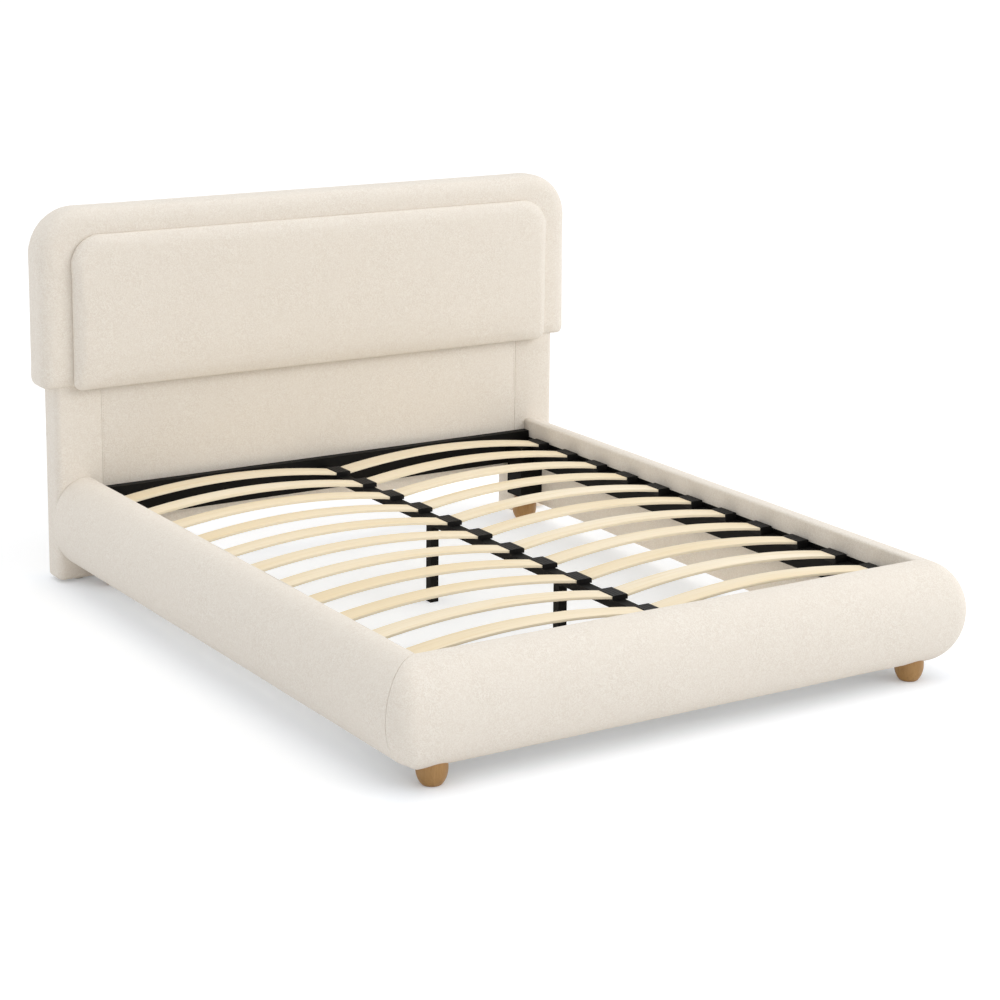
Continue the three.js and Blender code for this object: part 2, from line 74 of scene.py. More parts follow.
class Side(Enum):
    """The two long sides of the bed, each with the sign of its X."""

    LEFT = -1
    RIGHT = 1

    @property
    def label(self) -> str:
        """The side's name as the nodes spell it."""
        return self.name.lower()


# ---- materials


def linear(colour: str) -> tuple[float, float, float, float]:
    """Turns an sRGB hex colour into linear light.

    Args:
        colour: six hex digits after a hash sign.

    Returns:
        Linear red, green, blue and an alpha of 1.
    """
    channels = [int(colour[i : i + 2], 16) / 255 for i in (1, 3, 5)]
    bent = [c / 12.92 if c <= 0.04045 else ((c + 0.055) / 1.055) ** 2.4 for c in channels]
    return bent[0], bent[1], bent[2], 1.0


def add_node(
    tree: NodeTree, kind: str, *values: Value,
    named: Optional[dict[Union[int, str], Value]] = None, **settings: Any,
) -> Node:
    """Adds one node with its settings, values and links.

    A value is a constant, a socket or another node, whose first output is taken.

    Args:
        tree: the material's or world's node tree.
        kind: the node's type without the leading ShaderNode.
        values: what goes into its inputs, in their order.
        named: what goes into its inputs by name or number.
        settings: the node's own properties.

    Returns:
        The new node.
    """
    node = tree.nodes.new("ShaderNode" + kind)
    for name, value in settings.items():
        setattr(node, name, value)
    for key, value in {**dict(enumerate(values)), **(named or {})}.items():
        if isinstance(value, Node):
            value = value.outputs[0]
        if isinstance(value, NodeSocket):
            tree.links.new(value, node.inputs[key])
        else:
            node.inputs[key].default_value = value
    return node


class Figure(Enum):
    """How a pattern is drawn."""

    NOISE = "patches or streaks"
    RINGS = "lines along the grain, as growth rings leave"
    PLIES = "glued layers across the strip's thickness"


@dataclass(frozen=True)
class Pattern:
    """A procedural pattern, with a number of features per metre along each axis.

    It is drawn on the piece's own place, or on a slat's UV map, in metres along and across it.
    """

    per_metre: tuple[float, float, float]
    detail: float = 2.0
    distortion: float = 0.0
    figure: Figure = Figure.NOISE
    on_strip: bool = False
    rings: float = 14.0

    def value(self, tree: NodeTree, place: Node) -> Value:
        """Adds the pattern's nodes to a material.

        Args:
            tree: the material's node tree.
            place: its Texture Coordinate node.

        Returns:
            The pattern's value, from 0 to 1.
        """
        point = place.outputs["UV" if self.on_strip else "Object"]
        shape = {"Detail": self.detail, "Distortion": self.distortion}
        if self.figure is Figure.PLIES:
            shape.update({"Vector": point, "Scale": self.per_metre[1]})
            return add_node(tree, "TexWave", named=shape, bands_direction="Y").outputs["Fac"]
        scaled = add_node(tree, "VectorMath", point, self.per_metre, operation="MULTIPLY")
        drift = add_node(tree, "TexNoise", named={"Vector": scaled, "Scale": 1.0, **shape})
        if self.figure is Figure.NOISE:
            return drift
        turns = add_node(tree, "Math", drift, self.rings, operation="MULTIPLY")
        return add_node(tree, "Math", turns, 1.0, operation="PINGPONG")


@dataclass(frozen=True)
class Tone:
    """One colour of a finish, laid over those below it where its pattern is strong.

    It starts to show where the pattern passes `low`, and shows by `most` from `high`.
    """

    colour: str
    pattern: Pattern
    low: float
    high: float
    most: float = 1.0


@dataclass(frozen=True)
class Finish:
    """A surface finish: its shader values, its colours and the relief of its surface."""

    name: str
    colour: str
    tones: tuple[Tone, ...] = ()
    relief: Optional[Pattern] = None
    depth: float = 0.1 * MM
    strength: float = 0.3
    roughness: float = 0.5
    ior: float = 1.5
    metallic: float = 0.0
    sheen: float = 0.0
    coat: float = 0.0
    coat_roughness: float = 0.2

    def make(self) -> Material:
        """Builds the material once and returns it."""
        known = bpy.data.materials.get(self.name)
        if known is not None:
            return known
        material = bpy.data.materials.new(self.name)
        material.use_nodes = True
        tree = material.node_tree
        tree.nodes.clear()
        colour, height = self.draw(tree, add_node(tree, "TexCoord"))
        surface = {
            "Base Color": colour,
            "Roughness": self.roughness,
            "IOR": self.ior,
            "Metallic": self.metallic,
            "Sheen Weight": self.sheen,
            "Sheen Roughness": 0.5,
            "Coat Weight": self.coat,
            "Coat Roughness": self.coat_roughness,
        }
        if height is not None:
            raised = {"Height": height, "Distance": self.depth, "Strength": self.strength}
            surface["Normal"] = add_node(tree, "Bump", named=raised)
        add_node(tree, "OutputMaterial", add_node(tree, "BsdfPrincipled", named=surface))
        return material

    def draw(self, tree: NodeTree, place: Node) -> tuple[Value, Optional[Value]]:
        """Draws the tones over the finish's colour.

        Args:
            tree: the material's node tree.
            place: its Texture Coordinate node.

        Returns:
            The colour, and the height of the relief if there is one.
        """
        wanted = [tone.pattern for tone in self.tones] + ([self.relief] if self.relief else [])
        values = {pattern: pattern.value(tree, place) for pattern in dict.fromkeys(wanted)}
        colour: Value = linear(self.colour)
        for tone in self.tones:
            pattern = values[tone.pattern]
            share = add_node(tree, "MapRange", pattern, tone.low, tone.high, 0.0, tone.most)
            mixed = {0: share, 6: colour, 7: linear(tone.colour)}
            colour = add_node(tree, "Mix", named=mixed, data_type="RGBA").outputs[2]
        return colour, values.get(self.relief)


@dataclass(frozen=True)
class Boucle(Finish):
    """Boucle upholstery cloth: looped polyester yarn on a plain woven base.

    It looks chalky, with small soft loops that catch the light one by one and faint slubs along
    both thread directions. Its colour is darker in the hollows between the loops, where the woven
    base shows: partly the base's own tone and partly painted shade, since it follows the relief.
    """

    # Tone of the woven base, also used as painted shade in the hollows between the loops and as the
    # tone of the slubs and clouds.
    ground_and_shade: str = "#E5DCD0"
    loop: float = 8 * MM  # real loops are about 4 mm; drawn coarser so that they show
    patch: float = 90 * MM
    slub_length: float = 60 * MM
    slub_width: float = 5 * MM
    cloud: float = 200 * MM

    def draw(self, tree: NodeTree, place: Node) -> tuple[Value, Optional[Value]]:
        """Draws curled yarn in patches, slubs along weft and warp, and slow clouds of tone.

        Args:
            tree: the material's node tree.
            place: its Texture Coordinate node.

        Returns:
            The colour, and the height of the weave.
        """
        long, wide = 1 / self.slub_length, 1 / self.slub_width
        curls, patches, weft, warp, clouds = (pattern.value(tree, place) for pattern in (
            Pattern((1 / self.loop,) * 3, 1.0, 2.2),
            Pattern((1 / self.patch,) * 3),
            Pattern((long, long, wide), 3.0),
            Pattern((wide, wide, long), 3.0),
            Pattern((1 / self.cloud,) * 3, 3.0),
        ))
        curled = add_node(tree, "MapRange", curls, 0.38, 0.62, -0.5, 0.5)
        raised = add_node(tree, "MapRange", patches, 0.38, 0.60, 0.65, 1.0)
        yarn = add_node(tree, "Math", curled, raised, operation="MULTIPLY")
        share = add_node(tree, "Math", yarn, 0.5, operation="ADD")
        slubs = add_node(tree, "Math", weft, warp, operation="ADD")
        # The colour follows the relief: the low hollows between the loops take the darker tone,
        # which is partly painted shade.
        ground_and_shade = linear(self.ground_and_shade)
        ends = {0: share, 6: ground_and_shade, 7: linear(self.colour)}
        colour = add_node(tree, "Mix", named=ends, data_type="RGBA").outputs[2]
        for pattern, low, high, most in ((slubs, 1.02, 1.4, 0.3), (clouds, 0.35, 0.7, 0.12)):
            darker = add_node(tree, "MapRange", pattern, low, high, 0.0, most)
            mixed = {0: darker, 6: colour, 7: ground_and_shade}
            colour = add_node(tree, "Mix", named=mixed, data_type="RGBA").outputs[2]
        return colour, add_node(tree, "Math", slubs, 0.25, yarn, operation="MULTIPLY_ADD")


FABRIC = Boucle(
    "Boucle_upholstery_cloth", "#F0EAE0", depth=1 * MM, strength=0.4, roughness=0.95, sheen=0.12
)
# Spun polyester thread, a tone darker than the cloth, with the shine of its twist; the hollows of
# the twist take a much darker tone, which is painted shade.
THREAD = Boucle(
    "Polyester_sewing_thread", "#E4DBCE", ground_and_shade="#C6BAA8", loop=3 * MM, depth=1 * MM,
    strength=0.4, roughness=0.7, sheen=0.2,
)

# Spun-bonded polypropylene fleece: thin, dull and faintly mottled by its fibres, which are drawn
# 4 mm wide so that they show.
FIBRES = Pattern((250.0, 250.0, 90.0), detail=3.0, distortion=2.0)
FLEECE = Finish(
    "Spunbonded_dust_fleece", "#3A3836", (Tone("#4B4845", FIBRES, 0.4, 0.7),), FIBRES,
    depth=0.3 * MM, strength=0.4, roughness=0.95, sheen=0.1,
)

# Sanded face of laminated birch: pale, each slat in its own tone, with straight grain drawn 3 mm
# wide so that it shows and up to 200 mm long, and broader figure.
FACE_GRAIN = Pattern((5.0, 330.0, 1.0), detail=4.0, distortion=0.4, on_strip=True)
BIRCH_FACE = Finish(
    "Laminated_birch_sanded_face", "#ECDAB7",
    (
        Tone("#F4E8D0", Pattern((0.9, 5.3, 0.0), detail=0.0), 0.3, 0.7),
        Tone("#E0C999", Pattern((2.5, 60.0, 1.0), distortion=0.8, on_strip=True), 0.5, 0.75, 0.4),
        Tone("#E0C999", FACE_GRAIN, 0.5, 0.8, 0.55),
    ),
    FACE_GRAIN, depth=0.15 * MM, roughness=0.5,
)

# Sawn edge of laminated birch: glued layers 1.6 mm thick, pale and darker by turns, and the saw's
# marks along them.
PLIES = Pattern((0.0, 100.0, 0.0), 1.0, 0.6, figure=Figure.PLIES, on_strip=True)
BIRCH_EDGE = Finish(
    "Laminated_birch_sawn_edge", "#F4E8CE",
    (
        Tone("#E6D5B2", PLIES, 0.55, 1.0, 0.5),
        Tone("#E6D5B2", Pattern((30.0, 500.0, 1.0), 3.0, on_strip=True), 0.5, 0.8, 0.4),
    ),
    PLIES, roughness=0.65,
)

# Planed pine board: straw-coloured, with wide early wood, darker late-wood lines and fine fibres
# that run along the board.
PINE_FIBRES = Pattern((14.0, 14.0, 500.0), detail=3.0)
PINE = Finish(
    "Planed_pine_board", "#DCC297",
    (
        Tone("#B98F58", Pattern((1.2, 1.2, 9.0), 2.0, 0.5, figure=Figure.RINGS), 0.55, 1.0, 0.8),
        Tone("#B98F58", PINE_FIBRES, 0.5, 0.9, 0.4),
    ),
    PINE_FIBRES, depth=0.2 * MM, roughness=0.6,
)

# Turned beech, stained amber: the stain sits darker in the open grain, which stands upright and is
# drawn 2.4 mm wide so that it shows, and the satin lacquer gives one broad soft highlight.
PORES = Pattern((420.0, 420.0, 40.0))
FOOT_WOOD = Finish(
    "Turned_beech_amber_stain", "#9E7541",
    (
        Tone("#AE864F", Pattern((60.0, 60.0, 9.0), 3.0, 0.8), 0.3, 0.7),
        Tone("#7A5528", PORES, 0.55, 0.8, 0.6),
    ),
    PORES, strength=0.25, roughness=0.42, coat=0.15, coat_roughness=0.35,
)

# Black powder coat on steel: even and satin, with orange peel 2.5 mm wide in its sheen, and a
# tone lighter where handling has rubbed it.
STEEL = Finish(
    "Powder_coated_steel", "#0B0A08",
    (Tone("#12100E", Pattern((9.0, 9.0, 30.0), 4.0, 0.6), 0.5, 0.75, 0.7),),
    Pattern((400.0,) * 3, 1.0), depth=0.12 * MM, strength=0.5, roughness=0.6, ior=1.22,
)

# Injection-moulded plastics with the spark-eroded grain of their mould, 1.2 mm wide so that it
# shows, and a tone a little uneven where the melt cooled: black polypropylene and pale nylon.
FLOW, GRIT = Pattern((22.0,) * 3), Pattern((1 / (1.2 * MM),) * 3)
PLASTIC = Finish(
    "Moulded_polypropylene", "#0E0D0D", (Tone("#151413", FLOW, 0.4, 0.7, 0.8),), GRIT,
    strength=0.5, roughness=0.55, ior=1.26,
)
GLIDE = Finish(
    "Natural_nylon", "#C9C2B6", (Tone("#D6D0C5", FLOW, 0.4, 0.7, 0.8),), GRIT, strength=0.5,
)

# Galvanised staple wire: bright zinc with a soft grey bloom in patches 3 mm across.
WIRE = Finish(
    "Galvanised_staple_wire", "#B9BCBD", (Tone("#8E9293", Pattern((330.0,) * 3), 0.4, 0.6),),
    roughness=0.35, metallic=1.0,
)


# ---- mesh helpers


def close_to(value: float, target: float, tolerance: float = 0.2 * MM) -> bool:
    """True where two lengths agree."""
    return abs(value - target) < tolerance


def edges_where(bm: BMesh, test: Callable[[Vector], bool], length: float = 0.0) -> list[BMEdge]:
    """The edges of at least that length whose both ends pass a test on their place."""
    return [e for e in bm.edges if e.calc_length() >= length and all(test(v.co) for v in e.verts)]


def everything(bm: BMesh) -> list:
    """All the vertices, edges and faces of a mesh."""
    return list(bm.verts) + list(bm.edges) + list(bm.faces)


def bevelled(bm: BMesh, edges: Iterable[BMEdge], width: float, segments: int = 3) -> None:
    """Rounds edges over that width."""
    bmesh.ops.bevel(
        bm, geom=list(edges), offset=width, offset_type="OFFSET", affect="EDGES",
        segments=segments, profile=0.5, material=-1, clamp_overlap=True,
    )


def block(bm: BMesh, low: Vector, high: Vector) -> list[BMVert]:
    """Adds a box.

    Args:
        bm: the mesh.
        low: the box's lowest corner.
        high: its highest corner.

    Returns:
        Its vertices.
    """
    made = bmesh.ops.create_cube(bm, size=1.0)["verts"]
    bmesh.ops.scale(bm, vec=high - low, verts=made)
    bmesh.ops.translate(bm, vec=(low + high) / 2, verts=made)
    return made


def rectangle(
    bm: BMesh, left: float, right: float, low: float, high: float, y: float
) -> list[BMVert]:
    """Adds an upright face across the bed.

    Args:
        bm: the mesh.
        left: X of its first side.
        right: X of its other side.
        low: Z of its lower edge.
        high: Z of its upper edge.
        y: where it stands along the bed.

    Returns:
        Its corners, the lower two first.
    """
    places = ((left, low), (right, low), (right, high), (left, high))
    corners = [bm.verts.new((x, y, z)) for x, z in places]
    bm.faces.new(corners)
    return corners


def ripple(bm: BMesh, height: float, length: float, seed: float) -> None:
    """Moves a soft skin in and out a little along its normals, as stuffing does.

    Args:
        bm: the mesh.
        height: how far a point moves at most, in metres.
        length: distance between one swell and the next, in metres.
        seed: where in the noise the piece lies, so that no two pieces match.
    """
    bm.normal_update()
    shift = Vector((seed, -seed, seed / 2))
    moves = [v.normal * (height * noise.noise(v.co / length + shift)) for v in bm.verts]
    for vert, move in zip(bm.verts, moves):
        vert.co += move


def placed(name: str, data: bpy.types.ID) -> Object:
    """Puts a new object with that data into the scene."""
    item = bpy.data.objects.new(name, data)
    bpy.context.scene.collection.objects.link(item)
    return item


def finished(
    bm: BMesh, name: str, finishes: Iterable[Finish], slot: Optional[Slot],
    stands_for: Iterable[str] = (), outward: bool = True,
) -> Object:
    """Turns a mesh into a smooth-shaded piece that rides on the bed.

    Args:
        bm: the mesh, which is freed.
        name: the piece's name.
        finishes: its finishes, in the order of its faces' material numbers.
        slot: not used.
        stands_for: the CAD nodes that it replaces.
        outward: whether its normals are worked out again.

    Returns:
        The piece.
    """
    if outward:
        bmesh.ops.recalc_face_normals(bm, faces=bm.faces)
    for face in bm.faces:
        face.smooth = True
    mesh = bpy.data.meshes.new(name)
    bm.to_mesh(mesh)
    bm.free()
    piece = placed(name, mesh)
    for finish in finishes:
        mesh.materials.append(finish.make())
    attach(piece, BODY)
    if stands_for:
        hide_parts(*stands_for)
    LOG.info("%s: %d faces", name, len(mesh.polygons))
    return piece


def applied(piece: Object) -> None:
    """Applies every modifier on a piece to its mesh."""
    graph = bpy.context.evaluated_depsgraph_get()
    mesh = bpy.data.meshes.new_from_object(piece.evaluated_get(graph))
    old = piece.data
    piece.modifiers.clear()
    piece.data = mesh
    mesh.name = old.name
    bpy.data.meshes.remove(old)


def by_angle(piece: Object, degrees: float = 40.0) -> None:
    """Keeps edges sharper than an angle crisp in the shading."""
    piece.data.set_sharp_from_angle(angle=math.radians(degrees))


# ---- rolled rails


@dataclass
class RolledRails:
    """The three padded rails: a roll of foam on a board, covered in one cloth round the bed.

    The roll turns each foot corner in a soft mitre. The foot rail's cover meets the sides' in a
    seam at each corner, one step of the turn past the end of the side.
    """

    plump: float = 16 * MM
    corner_softness: float = 66 * MM
    foot_sag: float = 8 * MM
    left_lift: float = 12 * MM
    left_corner_lift: float = 27 * MM
    lip: float = 11 * MM
    board_edge: float = 8 * MM
    seam_roll: float = 4.5 * MM
    seam_gap: float = 0.8 * MM
    seam_snap: float = 0.48 * MM
    seam_step: int = 1
    arc_steps: int = 34
    corner_steps: int = 9
    side_limit: float = 400 * MM
    long_edge: float = 500 * MM
    spacing: float = 60 * MM
    board_margin: float = 5 * MM
    head_margin: float = 37.5 * MM
    swell: float = 0.9 * MM
    swell_length: float = 190 * MM
    side_seed: float = 3.1
    foot_seed: float = 7.7
    least: float = 0.1 * MM
    square: float = 0.02

    def __post_init__(self) -> None:
        """Reads the rails' places from the frame."""
        board_low, board_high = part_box("right_rail_board")
        self.inner = board_low.x
        self.outer = board_high.x
        self.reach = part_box("right_rail_bolster")[1].x + self.plump
        self.bottom = board_low.z
        self.top = board_high.z
        self.head = board_high.y
        self.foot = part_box("foot_rail_board")[1].y
        self.middle = (self.bottom + self.top) / 2
        self.soft = self.corner_softness / (self.reach - self.inner)

    def section(self, bm: BMesh) -> list[BMEdge]:
        """Draws the closed outline of a rail at the headboard's end of the right side.

        Args:
            bm: an empty mesh.

        Returns:
            The outline's edges.
        """
        radius = (self.top - self.bottom) / 2
        start = bm.verts.new((self.outer, self.head, self.bottom))
        bmesh.ops.spin(
            bm, geom=[start], cent=(self.outer, self.head, self.middle), axis=(0, -1, 0),
            angle=math.pi, steps=self.arc_steps,
        )
        squeeze = (self.reach - self.outer) / radius
        centre = Matrix.Translation((-self.outer, -self.head, -self.middle))
        bmesh.ops.scale(bm, vec=(squeeze, 1, 1), space=centre, verts=bm.verts)
        crown = max(bm.verts, key=lambda v: v.co.z)
        high = bm.verts.new((self.inner, self.head, self.top))
        low = bm.verts.new((self.inner, self.head, self.bottom))
        for ends in ((crown, high), (high, low), (low, start)):
            bm.edges.new(ends)
        return list(bm.edges)

    def drawn_on(
        self, bm: BMesh, loop: list[BMEdge], place: Callable[[Vector], Vector]
    ) -> list[BMEdge]:
        """Extrudes an outline and puts each new point where `place` says.

        Args:
            bm: the mesh.
            loop: the outline's edges.
            place: from a point of the old outline to its place on the new one.

        Returns:
            The new outline's edges.
        """
        made = bmesh.ops.extrude_edge_only(bm, edges=loop)["geom"]
        for item in made:
            if isinstance(item, BMVert):
                item.co = place(item.co)
        return [item for item in made if isinstance(item, BMEdge)]

    def spread(self, angle: float) -> tuple[float, float]:
        """How far across and down the bed a turned point lies, as shares of its way out."""
        return tuple(1 - self.soft + self.soft * bend(angle) for bend in (math.cos, math.sin))

    def turned(self, before: float, after: float, side: Side) -> Callable[[Vector], Vector]:
        """Gives the move from one outline to the next round a foot corner.

        The further out a point lies, the wider its arc, so the roll turns softly and the board
        inside it turns sharply.

        Args:
            before: the angle that the old outline has turned, in radians.
            after: the angle that the new outline has turned.
            side: the corner's side.

        Returns:
            A function from a point of the old outline to its place on the new one.
        """
        start, end = self.spread(before), self.spread(after)

        def place(p: Vector) -> Vector:
            """Takes a point from the old outline to the new one."""
            if side is Side.RIGHT:
                out = (p.x - self.inner) / start[0]
            else:
                out = (self.foot - p.y) / start[1]
            return Vector((side.value * (self.inner + out * end[0]), self.foot - out * end[1], p.z))

        return place

    def whole_roll(self) -> BMesh:
        """The roll round three sides of the bed, closed at both ends, with soft corners."""
        bm = bmesh.new()
        first = self.section(bm)
        quarter = math.pi / 2
        angles = [quarter * step / self.corner_steps for step in range(self.corner_steps + 1)]
        path = [(*turn, Side.RIGHT) for turn in zip([0.0] + angles, angles)]
        path += [(*turn, Side.LEFT) for turn in zip([quarter] + angles[::-1], angles[::-1])]
        ring = first
        for before, after, side in path:
            ring = self.drawn_on(bm, ring, self.turned(before, after, side))
        last = self.drawn_on(bm, ring, lambda p: Vector((p.x, self.head, p.z)))
        for loop in (first, last):
            bmesh.ops.contextual_create(bm, geom=loop)
        bmesh.ops.remove_doubles(bm, verts=bm.verts, dist=WELD)
        bmesh.ops.recalc_face_normals(bm, faces=bm.faces)

        def on_board(p: Vector) -> bool:
            """True on the arrises of the board's inner face."""
            level = close_to(p.z, self.top) or close_to(p.z, self.bottom)
            return level and (close_to(abs(p.x), self.inner) or close_to(p.y, self.foot))

        def on_end(p: Vector) -> bool:
            """True on the part of an end that is padded."""
            return close_to(p.y, self.head) and abs(p.x) > self.outer - self.least

        bevelled(bm, edges_where(bm, on_board, self.long_edge), self.board_edge)
        ends = [e for e in edges_where(bm, on_end) if len(e.link_faces) == 2]
        bevelled(bm, ends, self.lip, segments=5)
        self.hang(bm)
        return bm

    def hang(self, bm: BMesh) -> None:
        """Lets the roll hang along the foot, and draws it up along the left side and corner."""
        depth = self.reach - self.inner
        for vert in bm.verts:
            if vert.co.z > self.middle:
                continue
            beside, beyond = abs(vert.co.x) - self.inner, self.foot - vert.co.y
            outermost = max(beside, beyond, self.least)
            turned = (min(beside, beyond) / outermost - 1 + self.soft) / self.soft
            turned = min(max(turned, 0.0), 1.0)
            lift = self.left_corner_lift * turned
            sag = self.foot_sag
            if beside > beyond:
                sag *= turned
                if beyond > -depth:
                    lift += self.left_lift * (1 - turned)
            if vert.co.x < 0:
                sag -= lift * min(outermost / depth, 1.0)
            vert.co.z -= sag * (self.middle - vert.co.z) / (self.middle - self.bottom)

    def cut(self, whole: BMesh, sides: Iterable[tuple[Vector, Vector]]) -> BMesh:
        """Cuts the roll at seams, closes each cut and rolls its rim in.

        Args:
            whole: the roll round three sides, which is left as it is.
            sides: a point and an outward direction for each seam's plane.

        Returns:
            What lies behind every plane.
        """
        bm = whole.copy()
        for point, away in sides:
            cut = bmesh.ops.bisect_plane(
                bm, geom=everything(bm), plane_co=point, plane_no=away, clear_outer=True,
                dist=self.seam_snap, use_snap_center=True,
            )["geom_cut"]
            rim = [item for item in cut if isinstance(item, BMEdge)]
            bmesh.ops.holes_fill(bm, edges=rim)
            bevelled(bm, [e for e in rim if e.is_valid], self.seam_roll)
        return bm

    def divided(self, bm: BMesh) -> None:
        """Divides the long faces of a roll, so that its surface can swell."""
        for axis, normal in ((0, Vector((1, 0, 0))), (1, Vector((0, 1, 0)))):
            low, high = (pick(v.co[axis] for v in bm.verts) for pick in (min, max))
            count = int((high - low) / self.spacing)
            for step in range(1, count):
                where = low + (high - low) * step / count
                if axis == 0 and abs(where) > self.inner - self.board_margin:
                    continue
                past_ends = where < self.foot + self.board_margin or where > high - self.head_margin
                if axis == 1 and past_ends:
                    continue
                quads = (f for f in bm.faces if len(f.verts) == 4)
                geom = [f for f in quads if abs(f.normal[axis]) < self.square]
                edges = {e for f in geom for e in f.edges}
                verts = {v for f in geom for v in f.verts}
                geom += list(edges) + list(verts)
                bmesh.ops.bisect_plane(bm, geom=geom, plane_co=normal * where, plane_no=normal)

    def cover(self, bm: BMesh, label: str, seed: float) -> None:
        """Makes one rail's cover, which stands for its roll and its board.

        Args:
            bm: the cover's part of the roll.
            label: which rail it is, as the nodes spell it.
            seed: where in the noise its swells lie.
        """
        self.divided(bm)
        ripple(bm, self.swell, self.swell_length, seed)
        nodes = (f"{label}_rail_bolster", f"{label}_rail_board")
        piece = finished(bm, f"{label}_rail_cover", [FABRIC], Slot.FABRIC, nodes)

    def build(self) -> None:
        """Makes the covers of both sides and of the foot."""
        whole = self.whole_roll()
        across, down = self.spread(math.pi / 2 * self.seam_step / self.corner_steps)
        footward = Vector((0, -1, 0))
        seams = []
        for number, side in enumerate(Side):
            point = Vector((side.value * self.inner, self.foot, 0))
            along = Vector((side.value * across, -down, 0)).normalized()
            away = (footward - along * along.dot(footward)).normalized()
            half_gap = away * self.seam_gap / 2
            seams.append((point + half_gap, -away))
            middle = (Vector((side.value * self.side_limit, 0, 0)), Vector((-side.value, 0, 0)))
            bm = self.cut(whole, [(point - half_gap, away), middle])
            self.cover(bm, side.label, self.side_seed + number)
        self.cover(self.cut(whole, seams), "foot", self.foot_seed)
        whole.free()


# ---- headboard


@dataclass
class PadShape:
    """The outline and edges of one headboard pad, over the CAD solid that it stands for.

    The front edge rolls over `roll_reach` of the face and `roll_depth` of the thickness. Along
    the bottom, `bottom_share` of that depth is left, and the face leans back by `tuck` over
    `tuck_reach`.
    """

    node: str
    name: str
    top_radius: float
    bottom_radius: float
    roll_reach: float
    roll_depth: float
    back_round: float
    voxel: float
    bottom_share: float = 1.0
    tuck: float = 0.0
    tuck_reach: float = 65 * MM
    below: float = 0.0
    crown: float = 0.0
    swell: float = 8 * MM
    slack: float = 11 * MM
    proud: float = 7 * MM
    above: float = 2 * MM
    forward: float = 1 * MM
    hollow: float = 5 * MM
    corner_steps: int = 14

    def body(self) -> BMesh:
        """The pad before it is filled: its outline, given thickness and rounded edges.

        It starts a little wide and a little thin, because filling draws the rim in and
        pushes the face out.
        """
        low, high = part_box(self.node)
        s = self.slack
        low, high = low + Vector((-s, self.hollow, -s)), high + Vector((s, 0, s + self.above))
        bm = bmesh.new()
        corners = rectangle(bm, low.x, high.x, low.z, high.z, low.y)
        for chosen, radius in ((corners[2:], self.top_radius), (corners[:2], self.bottom_radius)):
            bmesh.ops.bevel(
                bm, geom=chosen, offset=radius, offset_type="OFFSET", affect="VERTICES",
                segments=self.corner_steps, profile=0.5, material=-1,
            )
        deepened = self.roll_reach / self.roll_depth
        made = bmesh.ops.extrude_face_region(bm, geom=list(bm.faces))["geom"]
        back = [item for item in made if isinstance(item, BMVert)]
        bmesh.ops.translate(bm, vec=(0, (high.y - low.y) * deepened, 0), verts=back)
        bmesh.ops.recalc_face_normals(bm, faces=bm.faces)
        front = edges_where(bm, lambda p: close_to(p.y, low.y))
        bevelled(bm, front, self.roll_reach, segments=8)
        bmesh.ops.scale(
            bm, vec=(1, 1 / deepened, 1), verts=bm.verts, space=Matrix.Translation((0, -low.y, 0))
        )
        for vert in bm.verts:
            height = (vert.co.z - low.z) / self.roll_reach
            if height < 1 and vert.co.y < low.y + self.roll_depth:
                left = self.bottom_share + (1 - self.bottom_share) * height**2
                vert.co.y = low.y + (vert.co.y - low.y) * left
        rear = edges_where(bm, lambda p: close_to(p.y, high.y))
        bevelled(bm, rear, self.back_round, segments=4)
        return bm

    def lean(self, piece: Object, low: Vector, high: Vector) -> None:
        """Crowns the face and leans its bottom back, before the pad is filled.

        Args:
            piece: the pad.
            low: the lowest corner of its node.
            high: the highest corner of its node.
        """
        half = (high.z - low.z) / 2
        for vert in piece.data.vertices:
            front = 1 - min(max((vert.co.y - low.y) / self.roll_depth, 0.0), 1.0)
            off_centre = (vert.co.z - low.z) / half - 1
            vert.co.y += self.crown * off_centre**2 * front
            share = 1 - (vert.co.z - low.z) / self.tuck_reach
            if share > 0:
                vert.co.y += self.tuck * share**2 * front

    def build(self) -> None:
        """Makes the pad, fills it and closes it."""
        piece = finished(self.body(), self.name, [FABRIC], Slot.FABRIC, [self.node])
        remesh = piece.modifiers.new("even_mesh", "REMESH")
        remesh.mode = "VOXEL"
        remesh.voxel_size = self.voxel
        applied(piece)
        low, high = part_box(self.node)
        self.lean(piece, low, high)
        room_low = low - Vector((self.proud, self.forward, self.below))
        room_high = high + Vector((self.proud, 0, self.proud))
        Stuffing(self.swell).fill(piece, room_low, room_high)
        for face in piece.data.polygons:
            face.use_smooth = True


